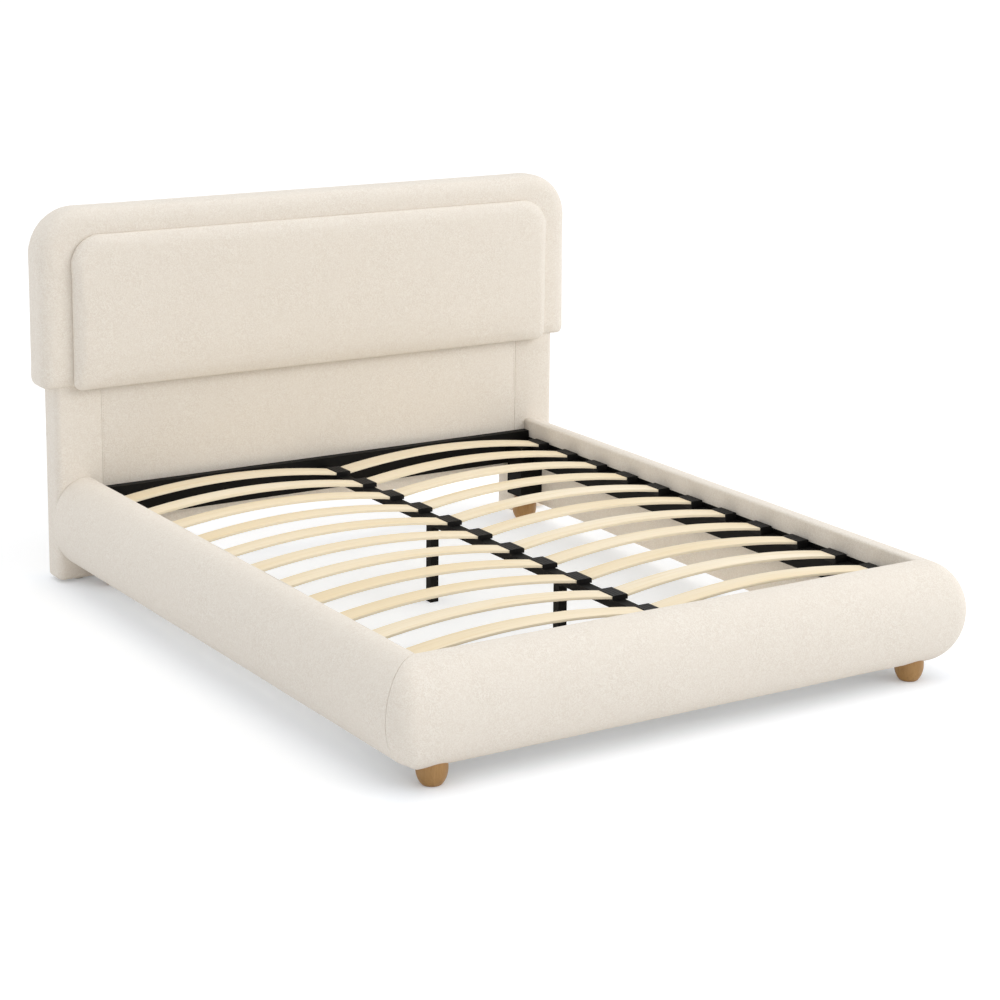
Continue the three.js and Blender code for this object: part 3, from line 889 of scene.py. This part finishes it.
@dataclass
class Stuffing:
    """Fills a closed skin by cloth simulation and keeps it inside its room."""

    swell: float
    pressure: float = 4.0
    frames: int = 20
    smoothings: int = 2

    def fill(self, piece: Object, low: Vector, high: Vector) -> None:
        """Blows the skin out, caps how far each point moves and applies the result.

        Args:
            piece: a closed piece with an even mesh.
            low: the lowest corner that it may reach.
            high: the highest corner that it may reach.
        """
        rest = [v.co.copy() for v in piece.data.vertices]
        scene = bpy.context.scene
        scene.frame_start, scene.frame_end = 1, self.frames
        cloth = piece.modifiers.new("filling", "CLOTH")
        cloth.settings.effector_weights.gravity = 0
        for name, value in {
            "quality": 4, "mass": 0.4, "tension_stiffness": 25, "compression_stiffness": 25,
            "bending_stiffness": 2, "use_pressure": True,
            "uniform_pressure_force": self.pressure,
        }.items():
            setattr(cloth.settings, name, value)
        cloth.collision_settings.use_collision = False
        cloth.point_cache.frame_start, cloth.point_cache.frame_end = 1, self.frames
        for step in range(1, self.frames + 1):
            scene.frame_set(step)
        applied(piece)
        scene.frame_set(1)
        bm = bmesh.new()
        bm.from_mesh(piece.data)
        for vert, start in zip(bm.verts, rest):
            move = vert.co - start
            if move.length > self.swell:
                vert.co = start + move.normalized() * self.swell
        for _ in range(self.smoothings):
            bmesh.ops.smooth_vert(
                bm, verts=bm.verts, factor=0.5, use_axis_x=True, use_axis_y=True, use_axis_z=True
            )
        for vert in bm.verts:
            for axis in range(3):
                vert.co[axis] = min(max(vert.co[axis], low[axis]), high[axis])
        bm.to_mesh(piece.data)
        bm.free()


@dataclass
class DustCover:
    """The fleece over the back of the lower headboard, stretched and stapled at its edges."""

    bottom: float
    node: str = "headboard_dust_cover"
    behind: float = 0.6 * MM
    thickness: float = 0.5 * MM
    cuts: int = 47
    billow: float = 0.7 * MM
    waves: tuple[float, float, float] = (5.0, 3.3, 9.0)  # across, seed, up
    taut_rim: float = 50 * MM
    inset: float = 10 * MM
    spacing: float = 55 * MM
    half_crown: float = 6 * MM
    half_wire: float = 0.6 * MM
    wire_out: float = 0.1 * MM

    def sheet(self, low: Vector, high: Vector) -> None:
        """Makes the fleece, which billows a little away from its edges.

        Args:
            low: its lowest corner.
            high: its highest corner.
        """
        bm = bmesh.new()
        rectangle(bm, high.x, low.x, low.z, high.z, high.y - self.behind)
        bmesh.ops.subdivide_edges(bm, edges=bm.edges, cuts=self.cuts, use_grid_fill=True)
        for vert in bm.verts:
            across, seed, up = self.waves
            wave = 0.5 + 0.5 * noise.noise(Vector((vert.co.x * across, seed, vert.co.z * up)))
            edge = min(high.x - abs(vert.co.x), vert.co.z - low.z, high.z - vert.co.z)
            vert.co.y -= self.billow * wave * min(1, edge / self.taut_rim)
        name = "dust_cover_sheet"
        sheet = finished(bm, name, [FLEECE], Slot.FLEECE, [self.node], outward=False)
        thick = sheet.modifiers.new("cloth", "SOLIDIFY")
        thick.thickness = self.thickness
        thick.offset = 0.0
        applied(sheet)

    def staples(self, low: Vector, high: Vector) -> None:
        """Makes the staples: lying along the lower edge, upright along both sides.

        Args:
            low: the fleece's lowest corner.
            high: its highest corner.
        """
        left, right = low.x + self.inset, high.x - self.inset
        foot, top = low.z + self.inset, high.z - self.inset
        across, up = (int(length / self.spacing) for length in (right - left, top - foot))
        spots = [
            (left + (right - left) * step / across, foot, self.half_crown, self.half_wire)
            for step in range(across + 1)
        ]
        spots += [
            (x, foot + (top - foot) * step / up, self.half_wire, self.half_crown)
            for step in range(1, up + 1)
            for x in (left, right)
        ]
        bm = bmesh.new()
        for x, z, wide, tall in spots:
            block(
                bm, Vector((x - wide, high.y - self.behind, z - tall)),
                Vector((x + wide, high.y + self.wire_out, z + tall)),
            )
        finished(bm, "dust_cover_staples", [WIRE], None)

    def build(self) -> None:
        """Makes the fleece and its staples."""
        low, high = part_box(self.node)
        low.z = self.bottom
        self.sheet(low, high)
        self.staples(low, high)


@dataclass
class Headboard:
    """The headboard: two covered posts, a covered panel between them and two pads above."""

    post_padding: float = 9 * MM
    post_above: float = 2.5 * MM
    post_round: float = 22 * MM
    post_foot_round: float = 15 * MM
    seam_roll: float = 2.2 * MM
    sliver: float = 0.05 * MM
    tall: float = 500 * MM
    panel_bottom: float = 150 * MM
    panel_front: float = 10 * MM
    panel_round: float = 4 * MM
    board_edge: float = 1.5 * MM
    fleece_above: float = 4 * MM
    stitch_length: float = 6 * MM
    stitch_gap: float = 3 * MM
    stitch_offset: float = 7 * MM
    stitch_start: float = 345 * MM
    stitch_top_gap: float = 4 * MM
    thread: float = 1.2 * MM
    thread_out: float = 0.5 * MM
    thread_in: float = 0.3 * MM
    thread_taper: tuple[float, float, float] = (0.6, 1.0, 0.7)

    def post(self, side: Side) -> None:
        """A covered post: round outer corners, a soft foot and a seam along the panel."""
        node = f"{side.label}_headboard_post"
        low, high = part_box(node)
        low.z -= self.post_padding
        high.z += self.post_above
        if side is Side.RIGHT:
            high.x += self.post_padding
            inner, outer = low.x, high.x
        else:
            low.x -= self.post_padding
            inner, outer = high.x, low.x
        bm = bmesh.new()
        block(bm, low, high)
        upright = edges_where(bm, lambda p: close_to(p.x, outer), self.tall)
        bevelled(bm, upright, self.post_round, segments=8)
        foot = edges_where(bm, lambda p: close_to(p.z, low.z))
        foot = [e for e in foot if not all(close_to(v.co.x, inner) for v in e.verts)]
        bevelled(bm, foot, self.post_foot_round, segments=6)
        seam = edges_where(bm, lambda p: close_to(p.x, inner), self.tall)
        bevelled(bm, seam, self.seam_roll)
        bmesh.ops.remove_doubles(bm, verts=bm.verts, dist=self.sliver)
        bmesh.ops.dissolve_degenerate(bm, edges=bm.edges, dist=self.sliver)
        piece = finished(bm, f"{side.label}_post_cover", [FABRIC], Slot.FABRIC, [node])
        by_angle(piece, degrees=60)

    def panel(self) -> None:
        """The covered panel between the posts, which ends above the floor."""
        low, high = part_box("headboard_lower_panel")
        low.z = self.panel_bottom
        bm = bmesh.new()
        block(bm, low, high)
        front = edges_where(bm, lambda p: close_to(p.y, low.y))
        upright = [e for e in front if close_to(e.verts[0].co.x, e.verts[1].co.x)]
        bevelled(bm, upright, self.seam_roll)
        limit = low.y + self.panel_front
        bottom = edges_where(bm, lambda p: close_to(p.z, low.z) and p.y < limit)
        bevelled(bm, bottom, self.panel_round)
        piece = finished(bm, "lower_panel_cover", [FABRIC], Slot.FABRIC, ["headboard_lower_panel"])
        by_angle(piece, degrees=60)

    def board(self) -> None:
        """The planed board behind the panel, with its arrises eased."""
        node = "headboard_backing_board"
        low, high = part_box(node)
        low.z = self.panel_bottom
        bm = bmesh.new()
        block(bm, low, high)
        bevelled(bm, bm.edges, self.board_edge, segments=2)
        by_angle(finished(bm, "backing_board", [PINE], None, [node]))

    def stitches(self, side: Side) -> None:
        """A row of topstitches beside a post's seam, on the panel."""
        low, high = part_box("headboard_lower_panel")
        bm = bmesh.new()
        x = side.value * (high.x - self.stitch_offset)
        pitch = self.stitch_length + self.stitch_gap
        for step in range(int((high.z - self.stitch_top_gap - self.stitch_start) / pitch)):
            z = self.stitch_start + step * pitch
            made = block(
                bm, Vector((x - self.thread / 2, low.y - self.thread_out, z)),
                Vector((x + self.thread / 2, low.y + self.thread_in, z + self.stitch_length)),
            )
            bmesh.ops.scale(
                bm, vec=self.thread_taper, verts=[v for v in made if v.co.y < low.y],
                space=Matrix.Translation((-x, 0, -(z + self.stitch_length / 2))),
            )
        finished(bm, f"{side.label}_seam_stitches", [THREAD], Slot.FABRIC)

    def build(self) -> None:
        """Makes every piece of the headboard."""
        for side in Side:
            self.post(side)
            self.stitches(side)
        self.panel()
        self.board()
        DustCover(self.panel_bottom + self.fleece_above).build()
        PadShape(
            "headboard_back_pad", "back_pad", top_radius=150 * MM, bottom_radius=34 * MM,
            roll_reach=44 * MM, roll_depth=44 * MM, back_round=10 * MM, voxel=9.5 * MM,
            bottom_share=0.3,
        ).build()
        PadShape(
            "headboard_front_pad", "front_pad", top_radius=98 * MM, bottom_radius=32 * MM,
            roll_reach=40 * MM, roll_depth=29 * MM, back_round=2 * MM, voxel=8 * MM,
            tuck=10 * MM, tuck_reach=140 * MM, below=8 * MM, crown=6 * MM,
        ).build()


# ---- slats


@dataclass
class SprungSlats:
    """Arched laminated slats in two rows, each end pushed into a moulded cap."""

    rise: float = 30 * MM
    thickness: float = 8 * MM
    mouth: float = 18 * MM
    edge: float = 1.2 * MM
    divisions: int = 22
    grain_along: float = 1.7
    grain_across: float = 0.31
    sharp: float = 1.0  # radians
    flat_above: float = 0.9  # a face's upright share
    sanded_above: float = 0.5

    def slat(self, side: Side, number: int) -> None:
        """Makes one slat flat, lays out its faces and bends it to its arc.

        Args:
            side: the row that it is in.
            number: the number of its node.
        """
        node = f"{side.label}_slat_{number:02d}"
        low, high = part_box(node)
        length, width = high.x - low.x, high.y - low.y
        half_chord = length / 2 - self.mouth
        radius = (half_chord**2 + self.rise**2) / (2 * self.rise)
        bm = bmesh.new()
        corner = Vector((length / 2, width / 2, 0))
        block(bm, -corner, corner + Vector((0, 0, self.thickness)))
        for step in range(1, self.divisions):
            x = -length / 2 + length * step / self.divisions
            bmesh.ops.bisect_plane(bm, geom=everything(bm), plane_co=(x, 0, 0), plane_no=(1, 0, 0))
        rims = edges_where(bm, lambda p: close_to(abs(p.y), width / 2))
        rims = [e for e in rims if e.calc_face_angle(0) > self.sharp]
        bevelled(bm, rims, self.edge, segments=2)
        strip = bm.loops.layers.uv.new("strip")
        for face in bm.faces:
            upright = abs(face.normal.z)
            flat = upright > self.flat_above
            face.material_index = 0 if upright > self.sanded_above else 1
            for loop in face.loops:
                x, y, z = loop.vert.co
                along = x + number * self.grain_along * side.value
                loop[strip].uv = (along, (y if flat else z) + number * self.grain_across)
        middle = (low + high) / 2
        for vert in bm.verts:
            turn = vert.co.x / (radius + self.thickness / 2)
            out = radius + vert.co.z
            vert.co = Vector((
                middle.x + out * math.sin(turn),
                middle.y + vert.co.y,
                high.z - radius - self.thickness + out * math.cos(turn),
            ))
        name = f"{side.label}_birch_slat_{number:02d}"
        piece = finished(bm, name, [BIRCH_FACE, BIRCH_EDGE], Slot.SLAT, [node])
        by_angle(piece, degrees=35)

    def build(self) -> None:
        """Makes every slat."""
        for side in Side:
            for number in SLAT_ROWS:
                self.slat(side, number)


# ---- feet


@dataclass
class BunFeet:
    """Four turned feet: an upright ellipse cut flat at the floor and at its seat."""

    flat_share: float = 0.61
    steps: int = 22
    turns: int = 56
    rim: float = 1.5 * MM
    sharp: float = 0.4  # radians

    def foot(self, node: str) -> None:
        """Spins one foot from its profile."""
        low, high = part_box(node)
        centre = (low + high) / 2
        radius = (high.x - low.x) / 2
        middle = (high.z - low.z) / 2
        tall = middle / math.sqrt(1 - self.flat_share**2)
        start = math.asin(middle / tall)
        bm = bmesh.new()
        profile = [bm.verts.new((centre.x, centre.y, low.z))]
        for step in range(self.steps + 1):
            angle = -start + 2 * start * step / self.steps
            profile.append(bm.verts.new((
                centre.x + radius * math.cos(angle), centre.y, centre.z + tall * math.sin(angle),
            )))
        profile.append(bm.verts.new((centre.x, centre.y, high.z)))
        for first, second in zip(profile, profile[1:]):
            bm.edges.new((first, second))
        bmesh.ops.spin(
            bm, geom=list(bm.verts) + list(bm.edges), cent=(centre.x, centre.y, 0), axis=(0, 0, 1),
            angle=2 * math.pi, steps=self.turns, use_merge=True,
        )
        bmesh.ops.remove_doubles(bm, verts=bm.verts, dist=WELD)
        bmesh.ops.recalc_face_normals(bm, faces=bm.faces)
        rims = edges_where(bm, lambda p: close_to(p.z, low.z) or close_to(p.z, high.z))
        rims = [e for e in rims if e.calc_face_angle(0) > self.sharp]
        bevelled(bm, rims, self.rim, segments=2)
        name = node.replace("bun_foot", "turned_foot")
        by_angle(finished(bm, name, [FOOT_WOOD], Slot.FOOT, [node]), degrees=50)

    def build(self) -> None:
        """Makes the four feet."""
        for side in Side:
            for end in ("head", "foot"):
                self.foot(f"{side.label}_{end}_bun_foot")


# ---- steel and plastic


@dataclass
class BaseMetalwork:
    """The parts whose CAD shape is right as it is: they only get their finishes."""

    cap_reach: float = 802.5 * MM
    cap_bottom: float = 264.1 * MM

    def dress(self, node: str, finish: Finish) -> bpy.types.Mesh:
        """Gives one CAD node its finish and returns its mesh."""
        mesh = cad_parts[node].data
        mesh.materials.clear()
        mesh.materials.append(finish.make())
        LOG.info("%s: %s", node, finish.name)
        return mesh

    def ledge(self, side: Side) -> None:
        """A steel ledge, with the moulded caps on it in plastic."""
        mesh = self.dress(f"{side.label}_side_ledge", STEEL)
        mesh.materials.append(PLASTIC.make())
        for face in mesh.polygons:
            if abs(face.center.x) < self.cap_reach and face.center.z > self.cap_bottom:
                face.material_index = 1

    def build(self) -> None:
        """Dresses the steel, the caps and the glides."""
        beams = ("head_cross_rail", "foot_cross_rail", "centre_beam")
        for node in (*beams, "centre_leg_1", "centre_leg_2"):
            self.dress(node, STEEL)
        for side in Side:
            self.ledge(side)
            self.dress(f"{side.label}_headboard_glide", GLIDE)
        for number in SLAT_ROWS:
            self.dress(f"centre_cap_{number:02d}", PLASTIC)


# ---- studio


class LampKind(Enum):
    """What gives the light, with Blender's name for it."""

    DIFFUSER = "SUN"
    SOFTBOX = "AREA"


@dataclass(frozen=True)
class Lamp:
    """A soft light that faces the bed.

    A diffuser lies in the direction of `place` and looks `size` degrees wide. A softbox stands
    at `place`, is `size` metres wide, has its power in watts and points `aim` above the floor.
    """

    name: str
    kind: LampKind
    place: tuple[float, float, float]
    size: float
    power: float
    colour: str = "#FFFFFF"
    aim: float = 0.4

    def build(self) -> None:
        """Puts the lamp into the scene."""
        data = bpy.data.lights.new(self.name, self.kind.value)
        data.energy = self.power
        data.color = linear(self.colour)[:3]
        spot = Vector(self.place)
        facing = spot
        if self.kind is LampKind.DIFFUSER:
            data.angle = math.radians(self.size)
        else:
            data.size = self.size
            facing = spot - Vector((0, 0, self.aim))
        turned = facing.to_track_quat("Z", "Y").to_matrix().to_4x4()
        placed(self.name, data).matrix_world = Matrix.Translation(spot) @ turned


LAMPS = (
    Lamp("key", LampKind.DIFFUSER, (0.55, -0.65, 0.52), 38.0, 0.64, "#FFFBF6"),
    Lamp("overhead", LampKind.DIFFUSER, (0.0, 0.0, 1.0), 60.0, 0.68),
    Lamp("right_softbox", LampKind.SOFTBOX, (4.2, -2.4, 3.4), 2.5, 42.0),
    Lamp("left_softbox", LampKind.SOFTBOX, (-4.0, 2.2, 2.0), 3.0, 12.0),
)


@dataclass
class Studio:
    """The floor, the sky, the lamps and the camera."""

    eye: tuple[float, float, float] = (-3.813, -6.127, 2.312)
    heading: float = 32.32
    dip: float = 11.51
    roll: float = 0.59
    focal: float = 90.29
    shift: float = -0.15
    sky: float = 0.65
    floor_size: float = 60.0

    def camera(self) -> None:
        """Places the camera at the height and heading of a standing viewer beyond the foot."""
        turn = Matrix.Identity(4)
        for axis, degrees in (("Z", -self.heading), ("X", 90 - self.dip), ("Z", self.roll)):
            turn = turn @ Matrix.Rotation(math.radians(degrees), 4, axis)
        camera = placed("camera", bpy.data.cameras.new("camera"))
        camera.data.sensor_width = 36.0
        camera.data.lens = self.focal
        camera.data.shift_y = self.shift
        camera.data.clip_end = 100.0
        camera.matrix_world = Matrix.Translation(self.eye) @ turn
        bpy.context.scene.camera = camera

    def world(self) -> None:
        """A plain pale sky that shows white to the camera and in reflections."""
        world = bpy.data.worlds.new("studio")
        bpy.context.scene.world = world
        world.use_nodes = True
        tree = world.node_tree
        tree.nodes.clear()
        path = add_node(tree, "LightPath")
        seen: Value = path.outputs["Is Camera Ray"]
        for ray in ("Is Glossy Ray", "Is Transmission Ray"):
            seen = add_node(tree, "Math", seen, path.outputs[ray], operation="MAXIMUM")
        light = add_node(tree, "Background", linear("#FFFFFF"), self.sky)
        white = add_node(tree, "Background", linear("#FFFFFF"), 1.0)
        add_node(tree, "OutputWorld", add_node(tree, "MixShader", seen, light, white))

    def floor_surface(self, tree: NodeTree) -> None:
        """Draws the floor: what it gives back to the bed, and what the camera sees.

        To the camera it glows, and the glow is painted light: weak at the bed's edges, which paints
        the shadow dark there, strong past them, which paints it out, and stronger inside the well,
        which paints the floor below the slats light. Near the bed its shade takes a painted cool
        tint.
        Inside the well it also glows to other rays: a painted bounce that lights the bed from below.

        Args:
            tree: the floor material's node tree.
        """
        place = add_node(tree, "TexCoord")
        split = add_node(tree, "SeparateXYZ", place.outputs["Object"])
        x, y = split.outputs["X"], split.outputs["Y"]
        # Mask of the well and of the floor just behind the headboard, where a painted glow lights
        # the floor.
        inside: Value = 1.0
        limits = ((x, -0.80, -0.45), (x, 1.0, 0.85), (y, 2.8, 1.7), (y, -0.90, -0.50))
        for axis, none, full in limits:
            share = add_node(tree, "MapRange", axis, none, full)
            inside = add_node(tree, "Math", inside, share, operation="MULTIPLY")
        past, glows = [], []
        # Painted shadow: the camera's glow is weak at the bed's edges and strong past them, so the
        # shadow is dark close to the bed and fades fast.
        for axis, half, start in ((x, 0.92, -0.26), (y, 1.10, -0.16)):
            size = add_node(tree, "Math", axis, operation="ABSOLUTE")
            past.append(add_node(tree, "Math", size, half, operation="SUBTRACT"))
            glows.append(add_node(tree, "MapRange", past[-1], start, 0.08, 0.06, 0.29))
        # Painted light: inside the well the glow grows towards the headboard.
        head = add_node(tree, "MapRange", y, 0.5, 0.85, 0.30, 0.42)
        under = add_node(tree, "Math", inside, head, operation="MULTIPLY")
        outside, rim = (add_node(tree, "Math", *pair, operation="MAXIMUM") for pair in (past, glows))
        strength = add_node(tree, "Math", rim, under, operation="MAXIMUM")

        matt = add_node(tree, "BsdfDiffuse", linear("#F0F1F3"))
        # Painted bounce: for other rays the floor glows warm in the well and lights the bed from
        # below, though it is no lamp.
        painted_bounce_strength = add_node(tree, "MapRange", inside, 0.0, 1.0, 0.05, 0.35)
        lift = add_node(tree, "Emission", linear("#FFF6E8"), painted_bounce_strength)
        # Painted shadow colour: near the bed the floor's shade takes a cooler tint.
        edge = add_node(tree, "MapRange", outside, -0.05, 0.12)
        tones = {0: edge, 6: linear("#E4EAF2"), 7: linear("#ECEDEE")}
        painted_shadow_tint = add_node(tree, "Mix", named=tones, data_type="RGBA").outputs[2]
        shade = add_node(tree, "BsdfDiffuse", painted_shadow_tint)
        glow = add_node(tree, "Emission", linear("#FFFFFF"), strength)
        given = add_node(tree, "AddShader", matt, lift)
        shown = add_node(tree, "AddShader", shade, glow)
        camera = add_node(tree, "LightPath").outputs["Is Camera Ray"]
        add_node(tree, "OutputMaterial", add_node(tree, "MixShader", camera, given, shown))

    def floor(self) -> None:
        """A matt pale floor that reads as white and keeps the bed's shadow, which its painted glow
        deepens near the bed and lightens in the well.
        """
        material = bpy.data.materials.new("Matt_studio_floor")
        material.use_nodes = True
        material.node_tree.nodes.clear()
        self.floor_surface(material.node_tree)
        bm = bmesh.new()
        bmesh.ops.create_grid(bm, x_segments=1, y_segments=1, size=self.floor_size)
        mesh = bpy.data.meshes.new("studio_floor")
        bm.to_mesh(mesh)
        bm.free()
        mesh.materials.append(material)
        placed("studio_floor", mesh)

    def build(self) -> None:
        """Sets up the studio."""
        bpy.context.scene.view_settings.view_transform = "Standard"
        self.camera()
        self.world()
        self.floor()
        for lamp in LAMPS:
            lamp.build()


def main() -> None:
    """Builds the bed and its studio."""
    logging.basicConfig(level=logging.INFO, format="%(name)s %(message)s")
    Studio().build()
    RolledRails().build()
    Headboard().build()
    SprungSlats().build()
    BunFeet().build()
    BaseMetalwork().build()


if __name__ == "__main__":
    main()
